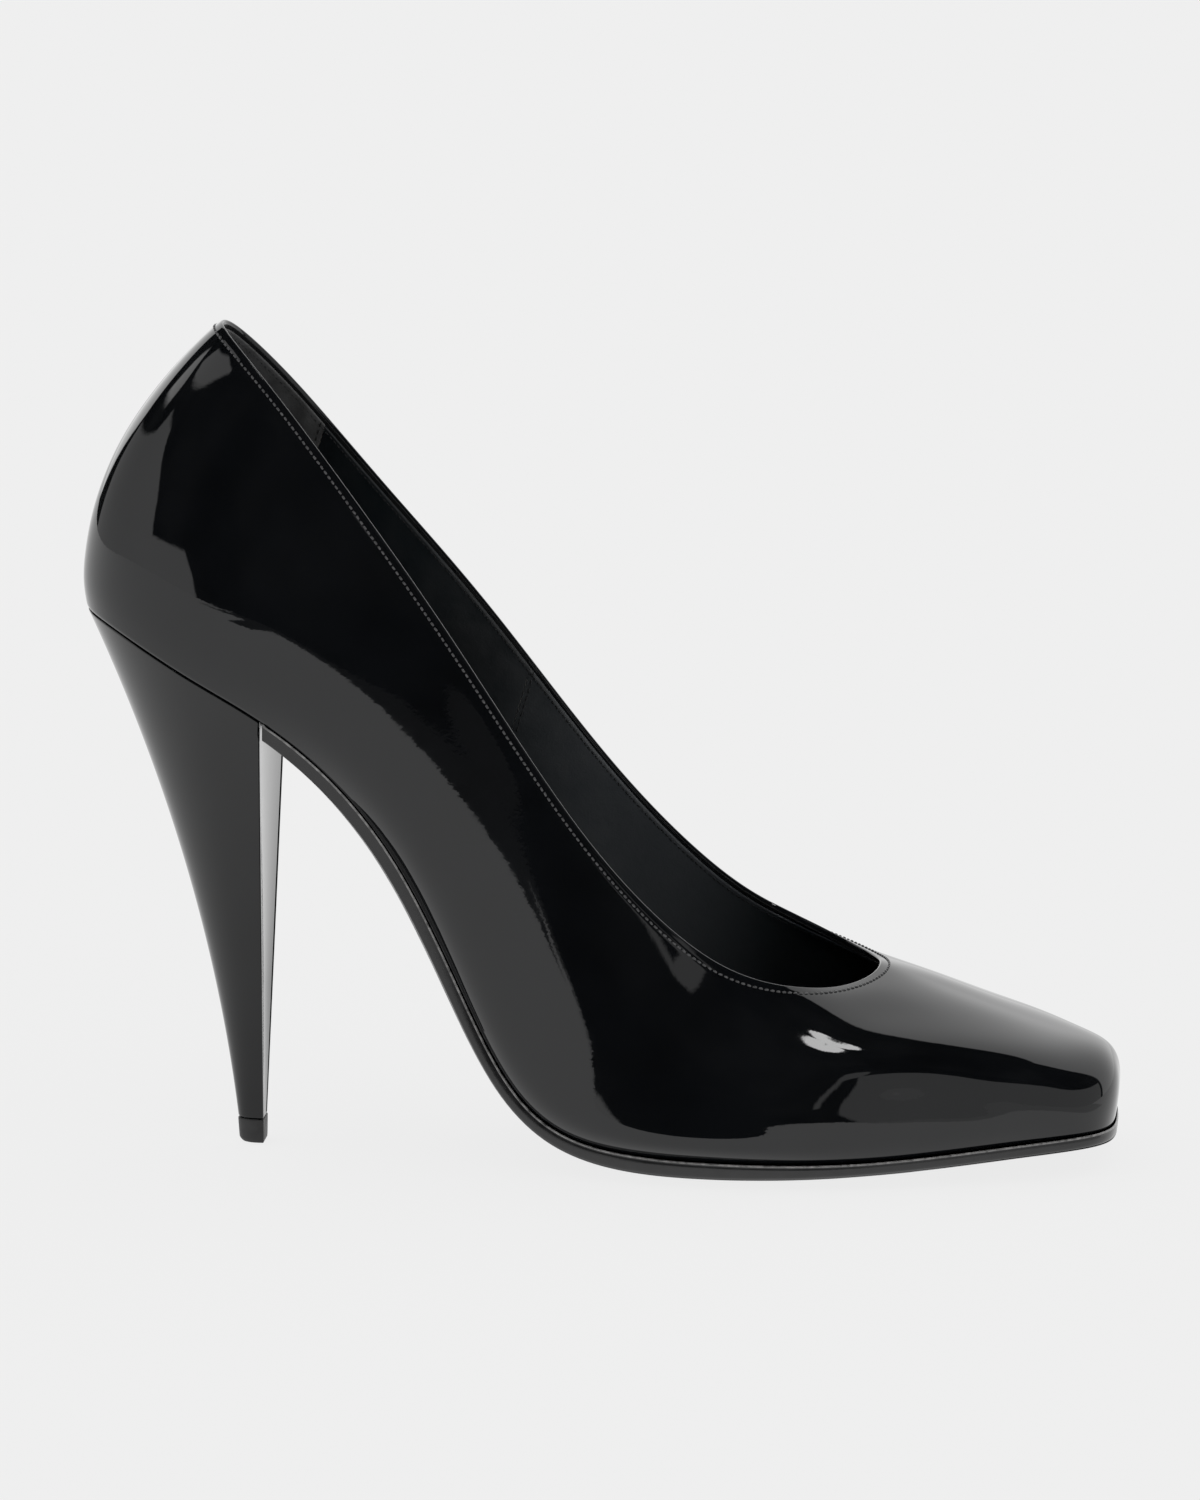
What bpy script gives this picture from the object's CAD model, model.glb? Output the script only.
# Patent leather court shoe on a slim high heel. The toe points along +X, the lateral side lies
# toward -Y and the ground is z = 0. Shapes are in mm and become metres in add_mesh; materials,
# studio and camera are in metres.
# A wall point is given by pos, which runs round the shoe in 24 stations (0 at the back of the
# heel, along the lateral side, 12 at the toe, back along the medial side), and by row, from 0
# at the feather line (the wall's bottom edge) to 7 at the topline.
import math

import bmesh
import bpy
import numpy as np
from mathutils import Matrix
from mathutils.kdtree import KDTree


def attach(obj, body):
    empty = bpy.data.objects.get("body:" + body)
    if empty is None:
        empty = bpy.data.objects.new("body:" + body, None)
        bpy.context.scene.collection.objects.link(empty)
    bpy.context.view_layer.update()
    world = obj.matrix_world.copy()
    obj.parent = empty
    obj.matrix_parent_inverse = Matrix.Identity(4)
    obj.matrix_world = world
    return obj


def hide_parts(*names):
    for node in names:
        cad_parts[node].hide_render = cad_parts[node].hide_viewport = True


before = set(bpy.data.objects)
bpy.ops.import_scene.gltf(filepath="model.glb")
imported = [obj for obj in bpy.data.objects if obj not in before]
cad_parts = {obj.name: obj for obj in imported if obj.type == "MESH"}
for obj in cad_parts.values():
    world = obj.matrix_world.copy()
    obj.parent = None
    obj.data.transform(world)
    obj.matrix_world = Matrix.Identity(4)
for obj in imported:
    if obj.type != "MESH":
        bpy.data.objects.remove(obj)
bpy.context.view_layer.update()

# ---------------------------------------------------------------- design tables (mm)
STATIONS = 24
TOP_ROW = 7
# shares of the chord from feather to topline where the bulges are given
BULGE_SHARES = [0.07, 0.17, 0.32, 0.53, 0.76, 0.92]
# one line per station: feather point, topline point, outward direction, six bulges
LATERAL = [
    [[-33.0, 0.0, 111.0], [-5.2, 0.0, 169.1], [-1, 0, 0.2], [3.1, 5.5, 7.7, 8.3, 5.6, 2.3]],
    [[-27.0, 16.5, 109.8], [-2.6, 8.8, 167.0], [-0.7, 0.7, 0.1], [2.5, 4.8, 7.2, 7.6, 4.8, 1.9]],
    [[-9.0, 25.3, 99.6], [9.0, 17.0, 155.0], [-0.1, 1, 0], [2.23, 4.08, 5.29, 5.17, 2.99, 1.31]],
    [[8.0, 23.5, 88.8], [26.0, 22.5, 133.4], [0.05, 1, 0], [2.18, 4.17, 4.87, 3.79, 2.47, 0.9]],
    [[31.0, 20.5, 65.4], [46.0, 26.0, 105.8], [0, 1, -0.1], [2.44, 4.55, 5.63, 4.49, 2.22, 0.88]],
    [[56.0, 25.0, 20.8], [70.0, 28.0, 69.8], [0, 1, -0.1], [3.12, 4.75, 4.93, 4.25, 2.54, 0.98]],
    [[80.0, 34.4, 7.5], [91.0, 29.5, 48.6], [0, 1, 0], [4.02, 4.01, 3.95, 3.39, 1.7, 0.55]],
    [[114.0, 37.3, 5.4], [104.5, 28.2, 41.3], [0.1, 1, 0.1], [3.21, 4.21, 4.94, 3.75, 1.97, 0.64]],
    [[138.0, 32.6, 6.3], [113.5, 24.3, 38.9], [0.2, 1, 0.2], [2.66, 4.56, 6.07, 7.88, 4.05, 1.25]],
    [[157.0, 26.2, 7.7], [120.3, 18.2, 37.7], [0.35, 0.8, 0.3],
     [3.38, 5.15, 7.56, 9.42, 4.42, 1.78]],
    [[171.0, 20.4, 8.6], [125.4, 11.6, 37.9], [0.7, 0.6, 0.3], [3.36, 6.87, 9.42, 6.95, 4.12, 1.66]],
    [[176.2, 11.5, 8.6], [128.2, 5.4, 38.6], [1, 0.15, 0.3], [7.51, 10.02, 8.86, 6.19, 3.46, 1.34]],
    [[176.8, 0.0, 8.6], [129.0, 0.0, 39.2], [1, 0, 0.3], [7.29, 11.01, 8.88, 6.02, 3.07, 1.18]]]
# the same columns for the medial side, from next to the heel back to next to the toe
MEDIAL = [
    [[-27.0, 16.5, 109.6], [-2.6, 8.8, 166.7], [-0.7, 0.7, 0.1], [2.5, 4.8, 7.2, 7.6, 4.8, 1.9]],
    [[-9.0, 25.0, 99.2], [9.0, 17.0, 153.6], [-0.1, 1, 0], [2.23, 4.08, 5.29, 5.17, 2.99, 1.31]],
    [[8.0, 22.5, 88.4], [26.0, 22.5, 132.0], [0.05, 1, 0], [2.18, 4.17, 4.87, 3.79, 2.47, 0.9]],
    [[32.0, 18.0, 63.8], [47.0, 26.0, 107.2], [0, 1, -0.1], [2.64, 4.95, 6.43, 5.29, 2.62, 1.08]],
    [[58.5, 22.5, 18.4], [72.0, 28.5, 74.0], [0, 1, -0.1], [3.12, 4.95, 5.53, 4.85, 3.14, 1.08]],
    [[87.0, 34.4, 6.5], [94.0, 30.0, 52.2], [0, 1, 0], [4.02, 4.01, 4.15, 3.79, 2.0, 0.65]],
    [[119.0, 37.6, 5.5], [107.0, 28.2, 45.0], [0.1, 1, 0.1], [3.21, 4.21, 4.94, 3.75, 1.97, 0.64]],
    [[142.0, 33.0, 6.4], [115.0, 24.0, 42.0], [0.2, 1, 0.2], [2.66, 4.56, 6.07, 7.88, 4.05, 1.25]],
    [[159.0, 26.8, 7.9], [121.3, 17.8, 40.2], [0.35, 0.8, 0.3],
     [3.38, 5.15, 7.56, 9.42, 4.42, 1.78]],
    [[171.6, 20.4, 8.6], [126.0, 11.4, 39.2], [0.7, 0.6, 0.3], [3.36, 6.87, 9.42, 6.95, 4.12, 1.66]],
    [[176.3, 11.5, 8.6], [128.4, 5.2, 39.2], [1, 0.15, 0.3], [7.51, 10.02, 8.86, 6.19, 3.46, 1.34]]]
# one value per station from heel (0) to toe (12)
TILT = np.array([-22, -27, -31, -36, -54, -54, -15, -1, 2, 4, 4, 3, 3])  # of the bottom, degrees
CENTRE_DEPTH = np.array([0.6, 1.0, 1.5, 1.7, 2.0, 2.4, 2.9, 3.1, 2.6, 1.8, 1.3, 1.1, 1.1])
RIM_SHARE = np.array([0, 0, 0, 0, 0, 0.25, 0.8, 1, 1, 1, 0.85, 0.4, 0.3])

UPPER_THICK = 0.9
STITCH_DROP = 1.55        # outer stitches below the topline
# offsets from the wall surface, negative into the shoe
LINING_OUTER = -1.42
LINING_INNER = -2.0
GRIP_INNER = LINING_INNER - 0.12
GRIP_END = 7 / 3          # pos of the seams
VAMP_END = 13 / 3
SOCK_INSET = 2.25
SOCK_BOTTOM = -3.86       # depths under the feather surface, negative is above it
SOCK_TOP = -4.46
SOLE_TOP = 0.12
SOLE_THICK = 2.6
SOLE_RIM = 0.9            # full overhang past the feather line
HEEL_END = 2.82           # pos of the heel's front corners
CORNER_SPAN = 0.045       # in pos, the turn of the wrap round those corners
WRAP_THICK = 0.7
TIP_WIDTH = 7.0
TIP_BACK = -3.0
TIP_FRONT = 2.5
TIP_HEIGHT = 5.0


# ---------------------------------------------------------------- surfaces of the shoe
def unit(vectors):
    return vectors / np.linalg.norm(vectors, axis=-1, keepdims=True)


def control_net():
    """Spline control points, with the station points sharpened against the spline's rounding."""
    columns = []
    for k in range(STATIONS):
        line = LATERAL[k] if k <= 12 else MEDIAL[23 - k]
        low, top, outward, bulges = (np.array(part, float) for part in line)
        for vector in (low, top, outward):
            vector[1] *= -1 if k <= 12 else 1
        chord = top - low
        axis = unit(chord)
        normal = unit(outward - axis * (outward @ axis))
        bulged = [low + chord * share + normal * bulge
                  for share, bulge in zip(BULGE_SHARES, bulges)]
        columns.append([low] + bulged + [top])
    points = np.array(columns).transpose(1, 0, 2)
    points = (8 * points - np.roll(points, 1, 1) - np.roll(points, -1, 1)) / 6
    net = points.copy()
    net[1:-1] = (8 * points[1:-1] - points[:-2] - points[2:]) / 6
    return np.concatenate([2 * net[:1] - net[1:2], net, 2 * net[-1:] - net[-2:-1]], 0)


NET = control_net()


def cubic(t):
    """Uniform cubic B-spline weights."""
    return [(1 - t) ** 3 / 6, (3 * t ** 3 - 6 * t ** 2 + 4) / 6,
            (-3 * t ** 3 + 3 * t ** 2 + 3 * t + 1) / 6, t ** 3 / 6]


def cubic_slope(t):
    return [-(1 - t) ** 2 / 2, (9 * t ** 2 - 12 * t) / 6, (-9 * t ** 2 + 6 * t + 3) / 6, t ** 2 / 2]


def surface(pos, row):
    """Point, outward normal, tangent round the shoe, tangent up the wall."""
    pos, row = np.broadcast_arrays(pos, row)
    pos = np.mod(pos, STATIONS)
    i = np.floor(pos).astype(int)
    j = np.clip(np.floor(row).astype(int), 0, TOP_ROW - 1)
    round_weights, round_slopes = cubic(pos - i), cubic_slope(pos - i)
    up_weights, up_slopes = cubic(row - j), cubic_slope(row - j)
    point = tangent_round = tangent_up = 0
    for a in range(4):
        for b in range(4):
            control = NET[j + b, (i - 1 + a) % STATIONS]
            point = point + control * (round_weights[a] * up_weights[b])[..., None]
            tangent_round = tangent_round + control * (round_slopes[a] * up_weights[b])[..., None]
            tangent_up = tangent_up + control * (round_weights[a] * up_slopes[b])[..., None]
    return point, unit(np.cross(tangent_round, tangent_up)), tangent_round, tangent_up


def wall(pos, row, offset=0.0):
    point, normal, _, _ = surface(pos, row)
    return point + normal * offset


def row_below_top(pos, distance):
    """Row at a distance (mm) below the topline."""
    tangent_up = surface(pos, TOP_ROW)[3]
    return TOP_ROW - distance / np.linalg.norm(tangent_up, axis=-1)


def along(table, station):
    """Spline through a heel-to-toe table."""
    i = np.clip(np.floor(station).astype(int), 0, 11)
    return sum(table[np.clip(i - 1 + k, 0, 12)] * weight
               for k, weight in enumerate(cubic(station - i)))


def station_at(pos):
    """Station from heel (0) to toe (12) on either side."""
    pos = np.mod(pos, STATIONS)
    return np.where(pos <= 12, pos, STATIONS - pos)


def down(station):
    """Direction out of the shoe's bottom."""
    tilt = np.radians(along(TILT, station))
    return np.stack([np.sin(tilt), 0 * tilt, -np.cos(tilt)], -1)


def spine_station(station):
    """Where a station meets the centre line, drawn in from both ends of the shoe."""
    return np.interp(station, [0, HEEL_END, 9.5, 12], [1.25, HEEL_END, 9.5, 10.7])


def feather(pos, offset):
    """Point on the feather line, moved sideways out of the shoe."""
    point, _, tangent_round, _ = surface(pos, 0)
    outward = unit(np.cross(tangent_round, down(station_at(pos))))
    return point - outward * np.asarray(offset)[..., None]


def centre(station):
    return (surface(station, 0)[0] + surface(STATIONS - station, 0)[0]) / 2


def under(pos, offset, depth, inward):
    """Point on a layer under the foot: inward is 0 at the feather line, 1 on the centre line."""
    pos, offset, depth, inward = np.broadcast_arrays(pos, offset, depth, inward)
    station = station_at(pos)
    spine = spine_station(station)
    rim = feather(pos, offset)
    share = inward[..., None]
    direction = unit(down(station) * (1 - share) + down(spine) * share)
    dip = along(CENTRE_DEPTH, station * (1 - inward) + spine * inward) * (1 - (1 - inward) ** 3)
    return rim + (centre(spine) - rim) * share + direction * (depth + dip)[..., None]


ARCH_STATIONS = np.linspace(3.0, 9.0, 601)


def smoothed(stations, values):
    """Table over ARCH_STATIONS, smoothed with a Gaussian 0.11 stations wide."""
    dense = np.interp(ARCH_STATIONS, stations, values)
    kernel = np.exp(-(np.arange(-30, 31) * 0.01 / 0.11) ** 2 / 2)
    return np.convolve(np.pad(dense, 30, mode="edge"), kernel / kernel.sum(), mode="valid")


# extra depth (mm) where the arch turns into the ball, and extra sole thickness there
FULLNESS = smoothed([4.0, 4.25, 4.55, 4.83, 5.1, 5.33, 5.55, 5.77, 6.05, 6.43, 6.75],
                    [0, 0.25, 1.15, 2.4, 3.3, 3.35, 2.75, 1.9, 1.0, 0.2, 0])
THICKENING = smoothed([5.25, 5.55, 5.8, 6.05, 6.43, 6.7, 7.1, 7.5],
                      [0, 0.35, 0.7, 0.9, 0.8, 0.6, 0.25, 0])


def arch(table, pos):
    return np.interp(station_at(pos), ARCH_STATIONS, table)


def settle(points, pos, row):
    """Carry points near the feather line along with the fuller turn of the arch."""
    t = np.clip(row / 3.2, 0, 1)
    fade = 1 - t * t * (3 - 2 * t)
    return points + down(station_at(pos)) * (arch(FULLNESS, pos) * fade)[:, None]


# ---------------------------------------------------------------- mesh helpers
def add_mesh(name, verts, faces, material, body="shoe", replaces=None, weld=0.0, sharp=60):
    """Object from points in mm; weld in mm, sharp is the angle (degrees) that breaks shading."""
    mesh = bpy.data.meshes.new(name)
    mesh.from_pydata((np.asarray(verts).reshape(-1, 3) / 1000.0).tolist(), [], faces)
    work = bmesh.new()
    work.from_mesh(mesh)
    if weld:
        bmesh.ops.remove_doubles(work, verts=work.verts, dist=weld / 1000.0)
    bmesh.ops.dissolve_degenerate(work, edges=work.edges, dist=1e-8)
    bmesh.ops.recalc_face_normals(work, faces=work.faces)
    if work.calc_volume(signed=True) < 0:
        bmesh.ops.reverse_faces(work, faces=work.faces)
    work.to_mesh(mesh)
    work.free()
    mesh.polygons.foreach_set("use_smooth", [True] * len(mesh.polygons))
    mesh.set_sharp_from_angle(angle=math.radians(sharp))
    ob = bpy.data.objects.new(name, mesh)
    bpy.context.scene.collection.objects.link(ob)
    mesh.materials.append(MAT[material])
    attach(ob, body)
    if replaces:
        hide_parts(replaces)
    return ob


def band_faces(count, size, ring=False, loop=True):
    """Quads over count sections of size points.

    ring joins the last section to the first; loop closes each section on itself.
    """
    faces = []
    for i in range(count if ring else count - 1):
        a = i * size
        b = (i + 1) % count * size
        for k in range(size if loop else size - 1):
            after = (k + 1) % size
            faces.append((a + k, a + after, b + after, b + k))
    return faces


def end_faces(count, size):
    """Zip the first and last sections shut."""
    return [(a + k, a + k + 1, a + size - 2 - k, a + size - 1 - k)
            for a in (0, (count - 1) * size) for k in range(size // 2 - 1)]


def bezier(start, control, end, count):
    return [start * (1 - t) ** 2 + control * 2 * t * (1 - t) + end * t ** 2
            for t in np.linspace(0, 1, count)]


# ---------------------------------------------------------------- shader helpers
def add_node(tree, kind, inputs=None, **settings):
    """New shader node; inputs maps socket to a value or to the socket that feeds it."""
    node = tree.nodes.new("ShaderNode" + kind)
    for key, value in settings.items():
        setattr(node, key, value)
    for key, value in (inputs or {}).items():
        if isinstance(value, bpy.types.NodeSocket):
            tree.links.new(value, node.inputs[key])
        else:
            node.inputs[key].default_value = value
    return node


def map_range(tree, value, source, target=(0.0, 1.0), smooth=False):
    inputs = {"Value": value, "From Min": source[0], "From Max": source[1],
              "To Min": target[0], "To Max": target[1]}
    kind = "SMOOTHSTEP" if smooth else "LINEAR"
    return add_node(tree, "MapRange", inputs, interpolation_type=kind).outputs["Result"]


def noise(tree, vector, scale, detail):
    inputs = {"Vector": vector, "Scale": scale, "Detail": detail}
    return add_node(tree, "TexNoise", inputs).outputs["Fac"]


def calculator(tree):
    """Function that adds a math node to the tree and returns its output."""
    def calc(operation, *values):
        inputs = dict(enumerate(values))
        return add_node(tree, "Math", inputs, operation=operation).outputs[0]
    return calc


def object_coords(tree):
    return add_node(tree, "TexCoord").outputs["Object"]


def add_bump(tree, coords, normal, kind, scale, height, detail=0, stretch=(1, 1, 1)):
    """One bump layer on top of the normal so far; see the column note below."""
    vector = add_node(tree, "Mapping", {"Vector": coords, "Scale": stretch}).outputs["Vector"]
    if kind == "noise":
        pattern = noise(tree, vector, scale, detail)
    elif kind == "cells":
        inputs = {"Vector": vector, "Scale": scale}
        pattern = add_node(tree, "TexVoronoi", inputs, feature="SMOOTH_F1").outputs["Distance"]
    else:
        inputs = {"Vector": vector, "Scale": scale, "Distortion": detail}
        pattern = add_node(tree, "TexWave", inputs, bands_direction=kind).outputs["Fac"]
    inputs = {"Distance": height, "Strength": 1.0, "Height": pattern}
    if normal:
        inputs["Normal"] = normal
    return add_node(tree, "Bump", inputs).outputs["Normal"]


# ---------------------------------------------------------------- materials
MAT = {}


def make_material(name, colour, roughness, bumps, spread=0.12, spread_scale=60,
                  rough_spread=0.1, rough_scale=180, ior=1.5, metallic=0.0, sheen=0.0,
                  specular=0.5):
    """Principled material whose colour and roughness wander by the given shares."""
    material = bpy.data.materials.new(name)
    material.use_nodes = True
    material.diffuse_color = (*colour, 1)
    tree = material.node_tree
    tree.nodes.clear()
    coords = object_coords(tree)
    mottle = map_range(tree, noise(tree, coords, spread_scale, 5), (0.3, 0.7))
    mix = add_node(tree, "Mix", {"A": (*(c * (1 - spread) for c in colour), 1),
                                 "B": (*(c * (1 + spread) for c in colour), 1),
                                 "Factor": mottle}, data_type="RGBA")
    rough_range = (roughness * (1 - rough_spread), min(1.0, roughness * (1 + rough_spread)))
    rough = map_range(tree, noise(tree, coords, rough_scale, 3), (0.3, 0.7), rough_range)
    inputs = {"Base Color": mix.outputs["Result"], "Roughness": rough, "IOR": ior,
              "Metallic": metallic, "Specular IOR Level": specular}
    if sheen:
        inputs["Sheen Weight"] = sheen
        inputs["Sheen Roughness"] = 0.5
    normal = None
    for row in bumps:
        normal = add_bump(tree, coords, normal, *row)
    inputs["Normal"] = normal
    shader = add_node(tree, "BsdfPrincipled", inputs)
    add_node(tree, "OutputMaterial", {0: shader.outputs[0]})
    MAT[name] = material


# Bump rows: pattern ("X" and "Z" are waves along that axis), scale per metre, height in
# metres, detail (distortion for waves), stretch.
make_material("patent_leather", colour=(0.0026, 0.0030, 0.0036), roughness=0.03, spread=0.25,
              rough_spread=0.35, rough_scale=240, ior=1.56,
              bumps=[("noise", 110, 1.0e-5, 2), ("noise", 620, 3.4e-6, 2),
                     ("noise", 1500, 1.2e-6, 1)])
make_material("patent_leather_heel", colour=(0.0035, 0.0038, 0.0042), roughness=0.06,
              spread=0.25, rough_spread=0.3, rough_scale=260, ior=1.56,
              bumps=[("noise", 150, 8e-6, 2), ("noise", 700, 1.3e-6, 2)])


def raise_heel_shine():
    """Specular level grows up the heel."""
    tree = MAT["patent_leather_heel"].node_tree
    height = add_node(tree, "SeparateXYZ", {0: object_coords(tree)}).outputs[2]
    level = map_range(tree, height, (0.01, 0.10), (0.34, 0.52))
    tree.links.new(level, tree.nodes["Principled BSDF"].inputs["Specular IOR Level"])


raise_heel_shine()
make_material("lining_leather", colour=(0.0050, 0.0078, 0.0098), roughness=0.36, spread=0.25,
              spread_scale=45, rough_spread=0.2, specular=0.85,
              bumps=[("noise", 90, 2.5e-4, 3), ("cells", 2600, 1.6e-5), ("noise", 3500, 1.0e-5, 2)])


def lighten_lining():
    """A paler grey along the middle of the shoe's length."""
    tree = MAT["lining_leather"].node_tree
    base = tree.nodes["Principled BSDF"].inputs["Base Color"]
    x = add_node(tree, "SeparateXYZ", {0: object_coords(tree)}).outputs[0]
    rise = map_range(tree, x, (0.046, 0.072), smooth=True)
    fall = map_range(tree, x, (0.084, 0.112), (1.0, 0.0), smooth=True)
    inputs = {"A": base.links[0].from_socket, "B": (0.036, 0.040, 0.044, 1),
              "Factor": calculator(tree)("MULTIPLY", rise, fall)}
    mix = add_node(tree, "Mix", inputs, data_type="RGBA")
    tree.links.new(mix.outputs["Result"], base)


lighten_lining()
make_material("grip_suede", colour=(0.044, 0.0445, 0.045), roughness=0.85, spread=0.35,
              spread_scale=260, sheen=0.25, specular=0.3,
              bumps=[("noise", 2400, 1.1e-4, 4), ("noise", 300, 1.0e-4, 2)])
make_material("stitch_thread", colour=(0.060, 0.060, 0.062), roughness=0.28, spread=0.3,
              spread_scale=900, rough_spread=0.2, specular=0.6,
              bumps=[("X", 1400, 2.5e-5, 1.0, (1, 1, 1.6))])
make_material("seam_thread", colour=(0.008, 0.009, 0.0095), roughness=0.4, spread=0.3,
              spread_scale=900, rough_spread=0.2, bumps=[("X", 1400, 2.5e-5, 1.0, (1, 1, 1.6))])
make_material("sock_leather", colour=(0.0115, 0.013, 0.0135), roughness=0.46, spread=0.22,
              spread_scale=40, rough_spread=0.2, specular=0.45,
              bumps=[("noise", 60, 1.5e-4, 3), ("cells", 2100, 3.0e-5), ("noise", 3200, 1.6e-5, 2)])
make_material("sole_leather", colour=(0.0135, 0.013, 0.0135), roughness=0.36, spread=0.3,
              spread_scale=80, rough_spread=0.25, rough_scale=120,
              bumps=[("noise", 700, 2.0e-5, 4), ("cells", 3000, 1.2e-5), ("noise", 90, 5e-5, 2)])
make_material("sole_edge_ink", colour=(0.011, 0.011, 0.0115), roughness=0.20, spread=0.25,
              spread_scale=300, rough_spread=0.25, rough_scale=300, specular=0.6,
              bumps=[("noise", 500, 1.2e-5, 3), ("noise", 1600, 5e-6, 2)])
make_material("sole_edge_bead", colour=(0.13, 0.128, 0.126), roughness=0.26, spread=0.75,
              spread_scale=900, rough_spread=0.3, rough_scale=600, specular=0.9,
              bumps=[("noise", 1900, 2.0e-5, 3)])
make_material("tip_rubber", colour=(0.016, 0.016, 0.0165), roughness=0.5, spread=0.2,
              spread_scale=500, rough_spread=0.2, specular=0.45,
              bumps=[("noise", 1800, 2.5e-5, 3)])
make_material("interlining_cloth", colour=(0.70, 0.68, 0.62), roughness=0.85, spread=0.08,
              spread_scale=300, specular=0.2, bumps=[("X", 700, 8e-5, 0.5), ("Z", 700, 8e-5, 0.5)])
make_material("stiffener_board", colour=(0.50, 0.44, 0.34), roughness=0.75, spread=0.15,
              spread_scale=220, specular=0.25, bumps=[("noise", 1500, 6e-5, 4)])
make_material("edge_tape", colour=(0.006, 0.0065, 0.007), roughness=0.8, spread=0.06,
              spread_scale=300, specular=0.2, bumps=[("Z", 900, 6e-5, 0.3)])
make_material("latex_foam", colour=(0.74, 0.70, 0.58), roughness=0.9, spread=0.1,
              spread_scale=200, specular=0.2, bumps=[("cells", 1600, 1.5e-4)])
make_material("insole_fibre", colour=(0.46, 0.35, 0.22), roughness=0.8, spread=0.2,
              spread_scale=350, specular=0.25, bumps=[("noise", 1100, 7e-5, 5, (1, 3, 1))])
make_material("shank_fibre", colour=(0.27, 0.17, 0.10), roughness=0.75, spread=0.2,
              spread_scale=300, specular=0.25, bumps=[("noise", 1200, 6e-5, 5, (1, 3, 1))])
make_material("spring_steel", colour=(0.42, 0.43, 0.45), roughness=0.32, metallic=1.0,
              spread_scale=120, rough_spread=0.3, bumps=[("noise", 900, 6e-6, 3, (1, 14, 1))])
make_material("rivet_brass", colour=(0.62, 0.50, 0.24), roughness=0.3, metallic=1.0,
              spread=0.15, spread_scale=400, rough_spread=0.3, bumps=[("noise", 2500, 6e-6, 2)])
make_material("filler_felt", colour=(0.38, 0.24, 0.13), roughness=0.95, spread=0.3,
              spread_scale=500, specular=0.15, bumps=[("noise", 900, 1.8e-4, 6)])
make_material("heel_plastic", colour=(0.03, 0.03, 0.033), roughness=0.4, spread_scale=90,
              bumps=[("noise", 1300, 1.5e-5, 2)])
make_material("plated_steel", colour=(0.60, 0.61, 0.63), roughness=0.22, metallic=1.0,
              spread=0.08, spread_scale=300, rough_spread=0.3,
              bumps=[("noise", 1800, 4e-6, 2, (1, 1, 8))])


# ---------------------------------------------------------------- upper
FOLD_RADIUS = 0.42
FEATHER_ROUND = 0.9       # reach of the rounded feather edge
# tuck behind the folded topline: distance into the wall, height along it
FOLD_TUCK = [(0.98, 0.10), (1.22, -0.05), (1.32, -0.13), (1.355, -0.23), (1.36, -0.40),
             (1.36, -0.90), (1.36, -1.45), (UPPER_THICK, -1.6)]


def seam_groove(pos):
    """Closed seam up the centre of the back."""
    signed = np.mod(pos + 12, STATIONS) - 12
    lips = 0.05 * np.exp(-((np.abs(signed) - 0.034) / 0.018) ** 2)
    return lips - 0.22 * np.exp(-(signed / 0.011) ** 2)


def build_upper():
    """Wall with its bottom edge rolled under and its topline folded in."""
    seam = np.array([0.006, 0.012, 0.018, 0.026, 0.036])
    pos = np.concatenate([np.arange(0, 24, 0.05), seam, 24 - seam])
    pos = np.unique(np.round(pos, 5))
    low_point, _, _, low_up = surface(pos, 0)
    low_row = FEATHER_ROUND / np.linalg.norm(low_up, axis=-1)
    half_width = np.linalg.norm(centre(spine_station(station_at(pos))) - feather(pos, 0), axis=-1)
    round_in = FEATHER_ROUND / half_width
    flange_in = np.minimum(12.0 / half_width, 0.42)

    def flange(share, depth=0.0):
        inward = round_in + (flange_in - round_in) * share
        return settle(under(pos, 0, depth, inward), pos, 0.0)

    columns = [flange(share) for share in (1.0, 0.8, 0.6, 0.4, 0.2)]
    columns += bezier(flange(0.0), settle(low_point, pos, 0.0),
                      settle(wall(pos, low_row), pos, low_row), 8)

    top, normal, _, top_up = surface(pos, TOP_ROW)
    row_length = np.linalg.norm(top_up, axis=-1)
    fine_row = 6.0        # rows are closer above this one
    rows = [low_row + (fine_row - low_row) * t for t in np.linspace(0, 1, 78)[1:]]
    rows += [fine_row + (TOP_ROW - fine_row) * t for t in np.linspace(0, 1, 27)[1:]]
    for row in rows:
        point, outward, _, _ = surface(pos, row)
        drop = (TOP_ROW - row) * row_length
        # pulled in along the stitches, swollen above them
        relief = (0.012 * np.exp(-((drop - 0.9) / 0.5) ** 2)
                  - 0.022 * np.exp(-((drop - STITCH_DROP) / 0.30) ** 2))
        relief = relief + seam_groove(pos) * np.clip(drop / 0.8, 0, 1)
        columns.append(settle(point + outward * relief[:, None], pos, row))

    upward = unit(top_up)
    for angle in np.radians(np.linspace(0, 140, 14)[1:]):
        columns.append(top + normal * (FOLD_RADIUS * (math.cos(angle) - 1))
                       + upward * (0.92 * FOLD_RADIUS * math.sin(angle)))
    columns += [top - normal * inset + upward * height for inset, height in FOLD_TUCK]
    first_row = TOP_ROW - 1.9 / row_length
    for t in np.linspace(0, 1, 26):
        row = first_row + (0.45 - first_row) * t
        columns.append(settle(wall(pos, row, -UPPER_THICK), pos, row))
    corner = feather(pos, -UPPER_THICK) - down(station_at(pos)) * UPPER_THICK
    columns.append(settle(corner, pos, 0.0))
    columns += [flange(share, -UPPER_THICK) for share in (0.35, 0.7, 1.0)]
    add_mesh("upper_patent_leather", np.stack(columns, 1),
             band_faces(len(pos), len(columns), ring=True), "patent_leather",
             replaces="upper_outer")


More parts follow.
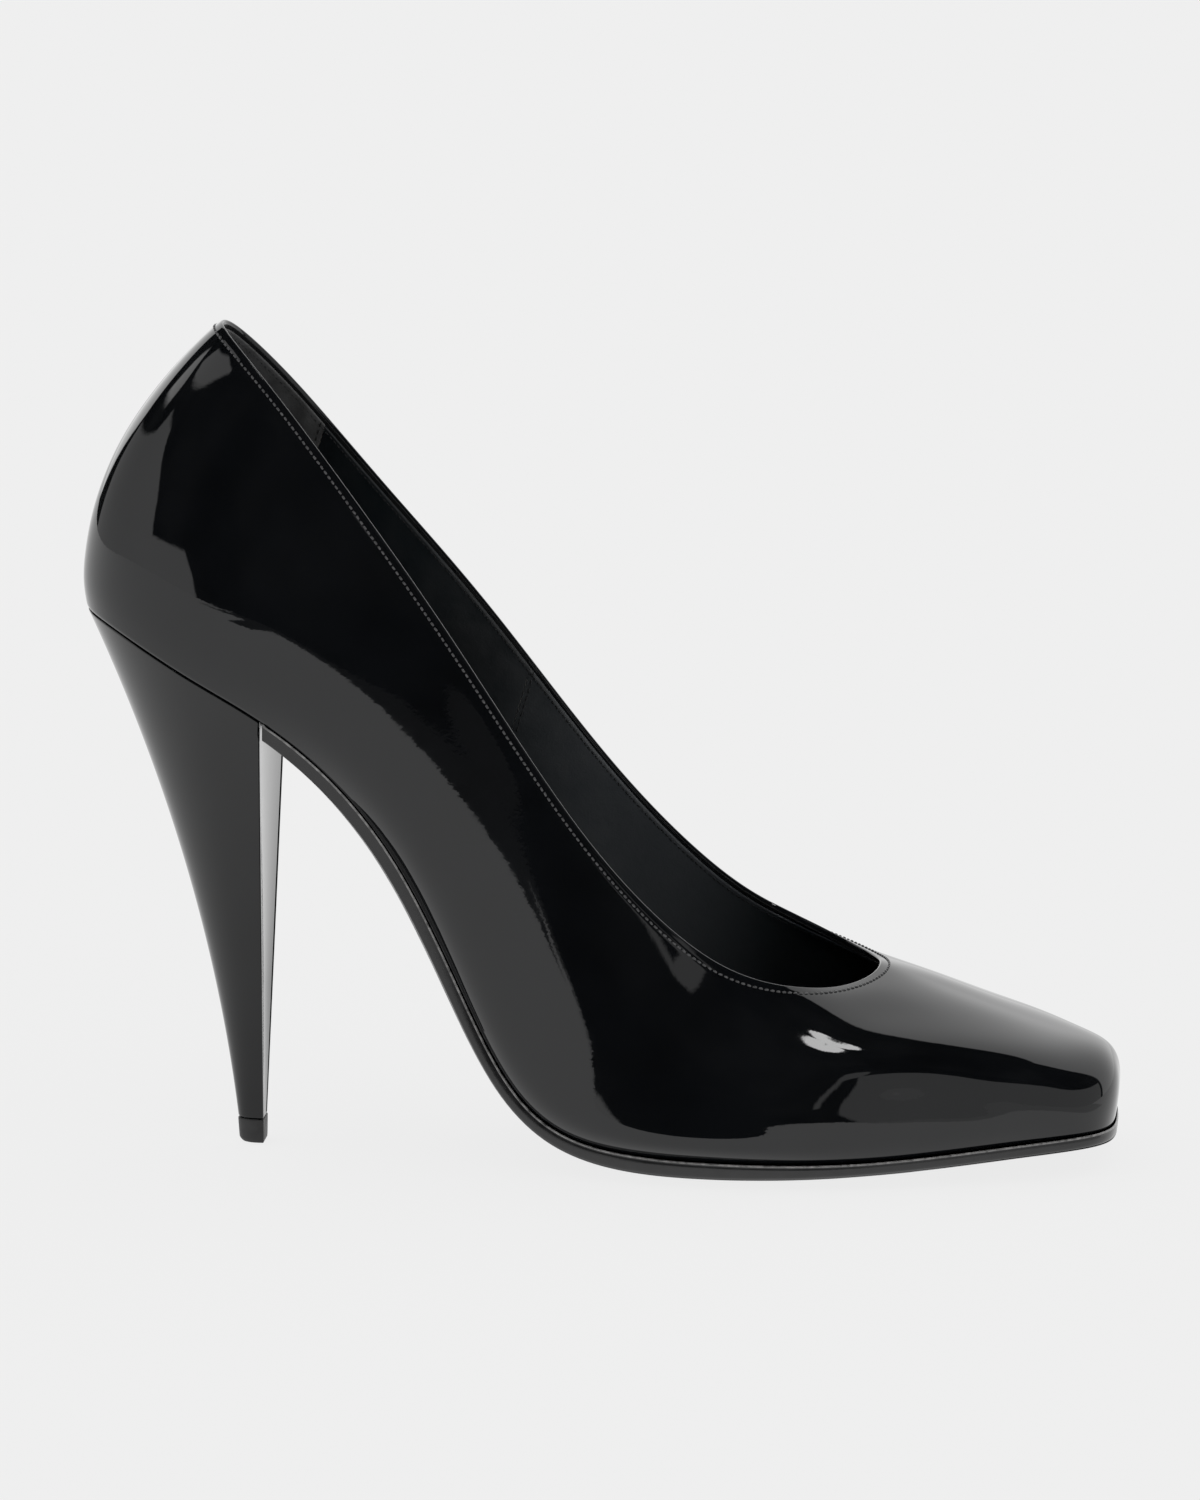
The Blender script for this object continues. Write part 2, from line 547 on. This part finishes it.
# ---------------------------------------------------------------- stitches
def sew(name, path, normals, pitch, length, radius, material, replaces=None):
    """Single stitches along a path, lying on the side the normals face."""
    steps = np.linalg.norm(np.diff(path, axis=0), axis=1)
    travelled = np.concatenate([[0], np.cumsum(steps)])
    count = int(round(travelled[-1] / pitch))
    spots = (np.arange(count) + 0.5) / count * travelled[-1]

    def at(values, where):
        return np.stack([np.interp(where, travelled, values[:, k]) for k in range(3)], -1)

    middle = at(path, spots)
    forward = unit(at(path, spots + length / 2) - at(path, spots - length / 2))
    across = unit(np.cross(at(normals, spots), forward))
    out = np.cross(forward, across)
    rng = np.random.default_rng(7)
    tilt = rng.normal(0, 0.03, count)
    lift = rng.normal(0, 0.015, count)
    sections = [-1, -0.88, -0.62, -0.25, 0.25, 0.62, 0.88, 1.0]
    sides = 8
    verts = []
    for t in sections:
        thick = radius * (1 - abs(t) ** 4) ** 0.5 + 0.02
        height = radius * 0.35 - radius * 1.25 * abs(t) ** 3
        core = (middle + forward * (t * length / 2) + out * (height + lift)[:, None]
                + across * (tilt * t * length)[:, None])
        for angle in np.arange(sides) * 2 * math.pi / sides:
            verts.append(core + across * (thick * 1.05 * math.cos(angle))
                         + out * (thick * 0.9 * math.sin(angle)))
    size = len(verts)
    stitch = band_faces(len(sections), sides)
    stitch += [tuple(range(sides)), tuple(range(size - sides, size))]
    faces = [tuple(s * size + k for k in face) for s in range(count) for face in stitch]
    add_mesh(name, np.stack(verts, 1), faces, material,
             replaces=replaces, sharp=180)


def stitch_topline(name, drop, offset, side, **stitch):
    """Row below the topline; side is +1 outside the shoe and -1 inside."""
    pos = np.linspace(0.02, 23.98, 6000)
    point, normal, _, _ = surface(pos, row_below_top(pos, drop))
    sew(name, point + normal * offset, normal * side, **stitch)


def stitch_seam(name, pos, shift, offset):
    """Row down a lining seam, shifted (mm) round the wall."""
    row = np.linspace(1.4, 6.85, 2500)
    tangent_round = surface(pos, row)[2]
    point, normal, _, _ = surface(pos + shift / np.linalg.norm(tangent_round, axis=-1), row)
    sew(name, point + normal * offset, -normal, pitch=1.7, length=1.35, radius=0.13,
        material="seam_thread")


def build_topline_stitches():
    stitch_topline("topline_stitches_outer", STITCH_DROP, 0.02, side=1, pitch=1.24, length=0.98,
                   radius=0.20, material="stitch_thread", replaces="topline_stitching")
    stitch_topline("topline_stitches_inner", STITCH_DROP + 0.1, LINING_INNER + 0.02, side=-1,
                   pitch=1.22, length=1.0, radius=0.14, material="seam_thread")


# ---------------------------------------------------------------- linings
def build_lining(name, start, end, inner, material, replaces):
    """Panel between two seams; its ends stop short so that the butt seams show."""
    seam_gap = 0.06
    low_row = 0.45
    gaps = seam_gap / np.linalg.norm(surface(np.array([start, end]), 4.0)[2], axis=-1)
    count = int((end - start) * 18)
    pos = np.linspace(start + gaps[0], end - gaps[1], count)
    top_row = row_below_top(pos, 0.95)
    rows = [low_row + (top_row - low_row) * t for t in np.linspace(0, 1, 34)]
    columns = [wall(pos, row, LINING_OUTER) for row in rows]
    _, normal, _, tangent_up = surface(pos, top_row)
    crest = wall(pos, top_row, (LINING_OUTER + inner) / 2)
    for angle in np.radians([35, 72, 108, 145]):
        columns.append(crest + normal * ((LINING_OUTER - inner) / 2 * math.cos(angle))
                       + unit(tangent_up) * (0.22 * math.sin(angle)))
    columns += [wall(pos, row, inner) for row in rows[::-1]]
    size = len(columns)
    add_mesh(name, np.stack(columns, 1), band_faces(count, size) + end_faces(count, size),
             material, replaces=replaces, sharp=50)


def build_linings():
    build_lining("lining_vamp", VAMP_END, STATIONS - VAMP_END, LINING_INNER, "lining_leather",
                 "vamp_lining")
    build_lining("lining_quarter_lateral", GRIP_END, VAMP_END, LINING_INNER, "lining_leather",
                 "quarter_lining_lateral")
    build_lining("lining_quarter_medial", STATIONS - VAMP_END, STATIONS - GRIP_END,
                 LINING_INNER, "lining_leather", "quarter_lining_medial")
    build_lining("heel_grip", -GRIP_END, GRIP_END, GRIP_INNER, "grip_suede", "heel_grip_lining")
    for area, pos, shift, offset in (("grip", GRIP_END, -1.2, GRIP_INNER),
                                     ("lining", VAMP_END, 1.2, LINING_INNER)):
        stitch_seam(f"{area}_seam_lateral", pos, shift, offset)
        stitch_seam(f"{area}_seam_medial", STATIONS - pos, -shift, offset)


# ---------------------------------------------------------------- sock lining
def build_sock():
    pos = np.arange(0, 24, 0.1)
    inwards = [1, 0.9, 0.8, 0.7, 0.6, 0.5, 0.4, 0.3, 0.22, 0.15, 0.09, 0.05, 0.025, 0.01]
    columns = [under(pos, -SOCK_INSET, SOCK_TOP, inward) for inward in inwards]
    for angle in np.radians([25, 60, 90, 120, 155]):
        depth = ((SOCK_BOTTOM + SOCK_TOP) / 2
                 - (SOCK_BOTTOM - SOCK_TOP) / 2 * math.cos(angle))
        columns.append(under(pos, -SOCK_INSET + 0.18 * math.sin(angle), depth, 0.0))
    columns += [under(pos, -SOCK_INSET, SOCK_BOTTOM, inward)
                for inward in inwards[-1:] + inwards[::-1]]
    add_mesh("sock_lining_leather", np.stack(columns, 1),
             band_faces(len(pos), len(columns), ring=True, loop=False), "sock_leather",
             replaces="sock_lining", weld=0.002)


# ---------------------------------------------------------------- outsole
# edge profile: share of the rim, extra outward mm, depth
SOLE_PROFILE = [
    (1.0, -0.10, 0.125), (1.0, 0.02, 0.20), (1.0, 0.08, 0.36), (1.0, 0.02, 0.52),
    (0.98, 0.0, 0.60), (0.98, 0.07, 0.78), (0.96, 0.13, 1.1), (0.92, 0.15, 1.5),
    (0.86, 0.11, 1.9), (0.78, 0.02, 2.25), (0.68, -0.12, 2.5), (0.58, -0.34, 2.66)]


def sole_point(pos, reach, depth, inward):
    """Point of the sole; reach is the overhang as a share of the rim."""
    station = station_at(pos)
    deep = arch(FULLNESS, pos) + arch(THICKENING, pos) * np.clip((depth - 0.6) / 2.0, 0, 1)
    point = under(pos, reach * SOLE_RIM * along(RIM_SHARE, station), depth + deep, inward)
    # by the heel the sole stays in front of a plane that leans forward as it rises
    x = np.maximum(point[..., 0], TIP_FRONT + 0.0292 * (point[..., 2] - TIP_HEIGHT) + 0.35)
    by_heel = station <= 3.2
    z = np.where(by_heel, point[..., 2] - (x - point[..., 0]) * 0.72, point[..., 2])
    return np.stack([np.where(by_heel, x, point[..., 0]), point[..., 1], np.maximum(z, 0.0)], -1)


def point_tree(points):
    tree = KDTree(len(points))
    for i, point in enumerate(points):
        tree.insert(point, i)
    tree.balance()
    return tree


def build_outsole():
    pos = np.concatenate([[2.86, 2.9], np.arange(2.95, 21.06, 0.05), [21.1, 21.14]])
    inwards = np.array([1, 0.94, 0.86, 0.76, 0.66, 0.56, 0.46, 0.36, 0.27, 0.19, 0.12, 0.07,
                        0.035, 0.012])
    columns = [sole_point(pos, 1.0, SOLE_TOP, inward) for inward in inwards]
    rim = along(RIM_SHARE, station_at(pos))
    for share, extra, depth in SOLE_PROFILE:
        reach = share + extra * np.clip(rim + 0.25, 0, 1) / SOLE_RIM / np.maximum(rim, 0.25)
        columns.append(sole_point(pos, reach, depth, 0.0))
    columns += [sole_point(pos, 0.6, SOLE_TOP + SOLE_THICK + 0.08 * (inward > 0.02), inward)
                for inward in inwards[::-1]]
    count, size = len(pos), len(columns)
    sole = add_mesh("outsole_leather", np.stack(columns, 1),
                    band_faces(count, size, loop=False) + end_faces(count, size),
                    "sole_leather", replaces="outsole", weld=0.002)
    sole.data.materials.append(MAT["sole_edge_ink"])
    sole.data.materials.append(MAT["sole_edge_bead"])
    # faces near the edge take ink, those on its upper lip take the bead
    edge = point_tree(sole_point(np.linspace(pos[0], pos[-1], 1500), 0.75, 1.3, 0.0))
    bead = point_tree(sole_point(np.linspace(pos[0], pos[-1], 9000), 1.06, 0.32, 0.0))
    for face in sole.data.polygons:
        middle = np.array(face.center[:]) * 1000
        if bead.find(middle)[2] < 0.20:
            face.material_index = 2
        else:
            face.material_index = 1 if edge.find(middle)[2] < 1.9 else 0


# ---------------------------------------------------------------- heel
def tip_outline(angle, width, back, front):
    """D-shaped outline with its straight side to the front."""
    return front + (back - front) * np.maximum(np.cos(angle), 0) ** 0.8, width / 2 * np.sin(angle)


def heel_top(pos, depth):
    return feather(pos, -0.25 - depth) + down(np.abs(pos)) * 0.24


BREAST_TOP = float(heel_top(np.array([HEEL_END]), 0.0)[0, 0])


def heel_point(pos, level, depth):
    """Point of the heel: level 0 on the tip block to 1 under the seat, depth into the heel."""
    pos, level, depth = np.broadcast_arrays(pos, level, depth)
    top = heel_top(pos, depth)
    low_x, low_y = tip_outline(-pos / HEEL_END * math.pi / 2, TIP_WIDTH - 2 * depth,
                               TIP_BACK + depth, TIP_FRONT - depth)
    linear = 0.40 + 0.60 * (np.abs(pos) / HEEL_END) ** 2
    flare = linear * level + (1 - linear) * level * level
    breast = TIP_FRONT + (BREAST_TOP - TIP_FRONT) * level - depth
    free_x = low_x + (top[..., 0] - low_x) * flare
    at_corner = np.abs(np.abs(pos) - HEEL_END) < 1e-9
    x = np.where(at_corner, breast, np.minimum(free_x, breast))
    y = low_y + (top[..., 1] - low_y) * flare
    low_z = TIP_HEIGHT + 0.1
    slope = np.tan(np.radians(along(TILT, np.abs(pos))))
    z = low_z + (top[..., 2] - low_z) * level + (x - free_x) * level * slope
    return np.stack([x, y, z], -1)


HEEL_LEVELS = np.unique(np.round(np.concatenate([
    [0, 0.0006, 0.0014, 0.0026, 0.0042, 0.007], np.linspace(0.01, 0.985, 110),
    [0.99, 0.994, 0.997, 0.9988, 1.0]]), 5))


def corner_reach(corner):
    """How far the wrap turns onto the heel's front face."""
    return np.minimum(0.75, 0.2 * np.abs(corner[:, 1]))


def heel_mesh(name, sections, replaces):
    loops = np.stack(sections, 0).transpose(1, 0, 2)
    count, size = loops.shape[:2]
    add_mesh(name, loops, band_faces(count, size) + end_faces(count, size),
             "patent_leather_heel", replaces=replaces, sharp=55)


def build_heel_wrap():
    levels = HEEL_LEVELS
    # rounding of the bottom and top edges
    roll = (0.28 * np.clip(1 - levels * 100 / 0.35, 0, 1) ** 2
            + 0.20 * np.clip(1 - (1 - levels) * 100 / 0.30, 0, 1) ** 2)
    outer = []
    inner = []
    for side in (-1, 1):
        corner = heel_point(side * HEEL_END, levels, roll)
        start = heel_point(side * (HEEL_END - CORNER_SPAN), levels, roll)
        to_middle = np.zeros_like(corner)
        to_middle[:, 1] = np.sign(-corner[:, 1])
        reach = corner_reach(corner)[:, None]
        turn = bezier(start, corner, corner + to_middle * reach, 7)
        turn.append(corner + to_middle * (reach + 0.35))
        turn.append(corner + to_middle * (reach + 0.45) - np.array([0.12, 0, 0]))
        outer.append(turn)
        inner.append([heel_point(side * (HEEL_END - 0.004 * k), levels, WRAP_THICK)
                      for k in range(len(turn) - 1, -1, -1)])
    span = HEEL_END - CORNER_SPAN
    around = np.linspace(-span, span, 97)[1:-1]
    outside = outer[0][::-1] + [heel_point(pos, levels, roll) for pos in around] + outer[1]
    inside = inner[0][::-1] + [heel_point(pos, levels, WRAP_THICK) for pos in around] + inner[1]
    heel_mesh("heel_wrap", outside + inside[::-1], "heel_cover")


def build_breast_panel():
    """Front face of the heel between the wrapped corners, gently hollowed across."""
    levels = HEEL_LEVELS
    x, first_y, first_z = heel_point(-HEEL_END, levels, 0.0).T
    _, last_y, last_z = heel_point(HEEL_END, levels, 0.0).T
    reach = corner_reach(heel_point(-HEEL_END, levels, 0.0)) + 0.58
    width = np.abs(first_y - last_y) - 2 * reach
    at_top = levels > 0.999
    front = []
    back = []
    for t in np.concatenate([[0, 0.006, 0.02], np.linspace(0.05, 0.95, 31), [0.98, 0.994, 1.0]]):
        y = np.maximum(first_y, last_y) - reach - width * t
        dome = (2.15 * (1 - np.abs(2 * t - 1) ** 3) + 0.14) * at_top
        z = (first_z + last_z) / 2 - dome
        rounding = 0.22 * np.clip(1 - min(t, 1 - t) / 0.02, 0, 1) ** 2
        hollow = 0.55 * (1 - (2 * t - 1) ** 2) * np.clip((levels - 0.02) / 0.3, 0, 1)
        front.append(np.stack([x - 0.10 - rounding - hollow, y, z], -1))
        back.append(np.stack([x - WRAP_THICK - 0.02, y, z], -1))
    heel_mesh("heel_breast_panel", front + back[::-1], "breast_cover")


# height, width, back x, front x
TIP_LEVELS = [
    (0.0, 6.0, -1.95, 2.25), (0.05, 6.3, -2.15, 2.42), (0.2, 6.5, -2.35, 2.47),
    (0.5, 6.72, -2.62, 2.49), (0.9, 6.9, -2.85, 2.5), (2.0, 6.96, -2.92, 2.52),
    (3.4, 7.04, -3.02, 2.54), (4.6, 7.1, -3.09, 2.55), (4.84, 7.08, -3.07, 2.54),
    (4.96, 6.96, -2.95, 2.48), (TIP_HEIGHT, 6.7, -2.8, 2.35)]


def build_heel_tip():
    angles = np.radians(np.linspace(-90, 90, 49))
    size = len(angles)
    rings = [np.stack([*tip_outline(angles, width, back, front), z + 0 * angles], -1)
             for z, width, back, front in TIP_LEVELS]
    verts = np.concatenate(rings + [np.array([[0.0, 0, 0.0], [0.0, 0, TIP_HEIGHT]])])
    faces = band_faces(len(rings), size)
    hub = len(rings) * size
    last = hub - size
    for k in range(size):
        after = (k + 1) % size
        faces += [(hub, after, k), (hub + 1, last + k, last + after)]
    add_mesh("heel_tip_block", verts, faces, "tip_rubber", body="heel_tip",
             replaces="top_lift", sharp=50)


# ---------------------------------------------------------------- pieces kept from the CAD
KEPT = {"stiffener_board": ["toe_puff", "heel_counter"],
        "interlining_cloth": ["side_interlining_lateral", "side_interlining_medial"],
        "edge_tape": ["topline_tape"], "latex_foam": ["insock_foam"],
        "insole_fibre": ["insole_board"], "shank_fibre": ["shank_board"],
        "spring_steel": ["steel_shank"], "rivet_brass": ["shank_rivets"],
        "filler_felt": ["bottom_filler"], "heel_plastic": ["heel_core"],
        "plated_steel": ["heel_tube", "heel_screw", "heel_nails", "lift_pin"]}


def dress_kept_pieces():
    for material, names in KEPT.items():
        for name in names:
            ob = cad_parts[name]
            if not ob.material_slots:
                ob.data.materials.append(MAT[material])
            for slot in ob.material_slots:
                slot.material = MAT[material]


# ---------------------------------------------------------------- studio
def build_floor():
    """Glowing pale floor that looks darker in places when mirrored in the leather."""
    material = bpy.data.materials.new("pale_floor")
    material.use_nodes = True
    tree = material.node_tree
    tree.nodes.clear()
    calc = calculator(tree)
    place = add_node(tree, "NewGeometry").outputs["Position"]
    x, y, _ = add_node(tree, "SeparateXYZ", {0: place}).outputs
    glossy = add_node(tree, "LightPath").outputs["Is Glossy Ray"]
    # grey card to the right
    card = calc("GREATER_THAN", calc("MULTIPLY_ADD", y, 0.3, x), 0.29)
    card = calc("MULTIPLY", card, calc("LESS_THAN", y, 0.02))
    card = calc("MULTIPLY", card, glossy)
    # dark beyond 4.6 m on the camera's side
    far = calc("SQRT", calc("MULTIPLY_ADD", y, y, calc("MULTIPLY", x, x)))
    far = calc("MULTIPLY", calc("GREATER_THAN", far, 4.6),
               calc("MULTIPLY", glossy, calc("LESS_THAN", calc("ABSOLUTE", x), 2.2)))
    far = calc("MULTIPLY", far, calc("LESS_THAN", y, 0.0))
    # and nearer, from a line that runs off to the right
    sweep = calc("MULTIPLY_ADD", calc("MAXIMUM", calc("ADD", x, 0.1), 0.0), 8.0, 1.7)
    sweep = calc("MULTIPLY", calc("GREATER_THAN", calc("MULTIPLY", y, -1.0), sweep),
                 calc("GREATER_THAN", x, -0.42))
    far = calc("MAXIMUM", far, calc("MULTIPLY", sweep, glossy))
    strength = calc("MULTIPLY_ADD", far, -0.80, calc("MULTIPLY_ADD", card, -0.26, 0.81))
    glow = add_node(tree, "Emission", {0: (1, 1, 1, 1), 1: strength})
    matt = add_node(tree, "BsdfDiffuse", {0: (0.053, 0.053, 0.053, 1)})
    both = add_node(tree, "AddShader", {0: glow.outputs[0], 1: matt.outputs[0]})
    add_node(tree, "OutputMaterial", {0: both.outputs[0]})

    bpy.ops.mesh.primitive_circle_add(vertices=96, radius=14.0, fill_type="NGON",
                                      location=(0.07, 0, -0.0002))
    floor = bpy.context.active_object
    floor.name = "studio_floor"
    floor.data.materials.append(material)


# Light panels as anticlockwise corners (azimuth from -Y toward +X, elevation) in degrees.
LEFT_PANELS = [        # brightness grows from left to right
    [(-93, 9.5), (-54, 9.5), (-54, 21), (-57, 27), (-65, 34), (-72, 38), (-87, 38), (-93, 33)],
    [(-132, 9.5), (-92, 9.5), (-92, 33), (-131, 18)],
    [(-131, -6), (-25, -6), (-25, -2), (-29, 5), (-29, 10.5), (-132, 10.5)]]
# brightness, edge softness in degrees, panels
PANEL_GROUPS = [
    # behind, to the right
    (1.05, 1.0, [[(107, -10), (180.1, -10), (180.1, 66.5), (151, 66.5), (140, 63), (107, 61)]]),
    # behind, to the left
    (1.42, 1.0, [[(-180.1, -12), (-134.2, -12), (-134.2, 16), (-125, 28), (-119.5, 35),
                  (-111, 46), (-150, 50), (-180.1, 50)],
                 [(-121, 28), (-104, 33.5), (-101, 37.5), (-107, 42.5), (-115.5, 36.5)]]),
    # slim strip high on the left
    (0.86, 0.7, [[(-98, 42.5), (-85, 40.5), (-61, 45), (-43, 47), (-42, 50), (-57, 53.5),
                  (-88, 49.5)]]),
    # low on the right
    (0.53, 0.6, [[(7.6, 9.3), (10.6, 9.3), (10.6, 23.5), (8.8, 24.5), (8.8, 20), (6.8, 17),
                  (6.8, 13)],
                 [(9.6, 9.3), (14, 6), (17, 2.5), (17.6, -4), (104, -4), (104, 20.5), (40, 18),
                  (9.6, 17.5)],
                 [(9.5, 16.5), (17, 16.5), (20, 20.5), (20, 25), (13, 23.3), (9.5, 23.5)]])]
LAMP_PANELS = [        # small bright lamp, high up
    [(5.5, 56.5), (12, 61.5), (20.5, 65.8), (19, 71), (8, 64), (4, 59)],
    [(19.5, 65.6), (36, 71.6), (64, 75.6), (50, 78), (28, 74.8), (17.5, 70.8)]]


def build_world():
    """Panels for mirror rays, even light for the rest and a flat grey for the camera."""
    world = bpy.data.worlds.new("studio")
    bpy.context.scene.world = world
    world.use_nodes = True
    tree = world.node_tree
    tree.nodes.clear()
    calc = calculator(tree)
    direction = add_node(tree, "TexCoord").outputs["Generated"]
    x, y, z = add_node(tree, "SeparateXYZ", {0: direction}).outputs
    to_camera = calc("MULTIPLY", y, -1.0)
    azimuth = calc("MULTIPLY", calc("ARCTAN2", x, to_camera), 180 / math.pi)
    elevation = calc("MULTIPLY", calc("ARCSINE", z), 180 / math.pi)

    def ramp(value, low, high):
        return map_range(tree, value, (low, high), smooth=True)

    def panel(corners, softness):
        mask = None
        for (x0, y0), (x1, y1) in zip(corners, corners[1:] + corners[:1]):
            length = math.hypot(x1 - x0, y1 - y0)
            nx, ny = -(y1 - y0) / length, (x1 - x0) / length
            inside = calc("MULTIPLY_ADD", azimuth, nx,
                          calc("MULTIPLY_ADD", elevation, ny, -(nx * x0 + ny * y0)))
            side = ramp(inside, -softness, softness)
            mask = calc("MULTIPLY", mask, side) if mask else side
        return mask

    def union(panels, softness):
        mask = None
        for corners in panels:
            shape = panel(corners, softness)
            mask = calc("MAXIMUM", mask, shape) if mask else shape
        return mask

    room = calc("MULTIPLY_ADD", ramp(noise(tree, direction, 2.4, 2), 0.42, 0.66), 0.022, 0.008)
    left_level = calc("MULTIPLY_ADD", ramp(azimuth, -140, -50), 0.42, 0.40)
    light = calc("MULTIPLY", union(LEFT_PANELS, 0.7), left_level)
    for level, softness, panels in PANEL_GROUPS:
        light = calc("MAXIMUM", light, calc("MULTIPLY", union(panels, softness), level))
    light = calc("MAXIMUM", light, room)
    light = calc("ADD", light, calc("MULTIPLY", union(LAMP_PANELS, 0.6), 9.0))

    rays = add_node(tree, "LightPath").outputs
    glossy, camera_ray = rays["Is Glossy Ray"], rays["Is Camera Ray"]
    light = calc("ADD", calc("MULTIPLY", light, glossy),
                 calc("MULTIPLY", calc("SUBTRACT", 1.0, glossy), 1.0))
    light = calc("ADD", calc("MULTIPLY", light, calc("SUBTRACT", 1.0, camera_ray)),
                 calc("MULTIPLY", camera_ray, 0.863))
    shader = add_node(tree, "Background", {"Color": (1, 1, 1, 1), "Strength": light})
    add_node(tree, "OutputWorld", {0: shader.outputs[0]})
    world.cycles.sampling_method = "NONE"


def build_camera():
    """Long lens on the lateral side, turned a little and looking slightly down."""
    turn, rise = math.radians(4.7), math.radians(10.0)
    target = np.array([0.0714988, 0, 0.0823701])
    distance = 1.7
    right = np.array([math.cos(turn), math.sin(turn), 0])
    back = np.array([math.sin(turn) * math.cos(rise), -math.cos(turn) * math.cos(rise),
                     math.sin(rise)])
    up = np.cross(back, right)
    data = bpy.data.cameras.new("camera")
    camera = bpy.data.objects.new("camera", data)
    bpy.context.scene.collection.objects.link(camera)
    rows = zip(right, up, back, target + back * distance)
    camera.matrix_world = Matrix([*rows, (0, 0, 0, 1)])
    data.sensor_fit = "VERTICAL"
    data.sensor_height = 36.0
    data.sensor_width = 28.8
    data.lens = 200.736
    data.clip_start = 0.01
    data.clip_end = 100
    scene = bpy.context.scene
    scene.camera = camera
    scene.view_settings.view_transform = "Standard"
    scene.view_settings.look = "None"


build_upper()
build_topline_stitches()
build_linings()
build_sock()
build_outsole()
build_heel_wrap()
build_breast_panel()
build_heel_tip()
dress_kept_pieces()
build_floor()
build_world()
build_camera()

bpy.context.view_layer.update()
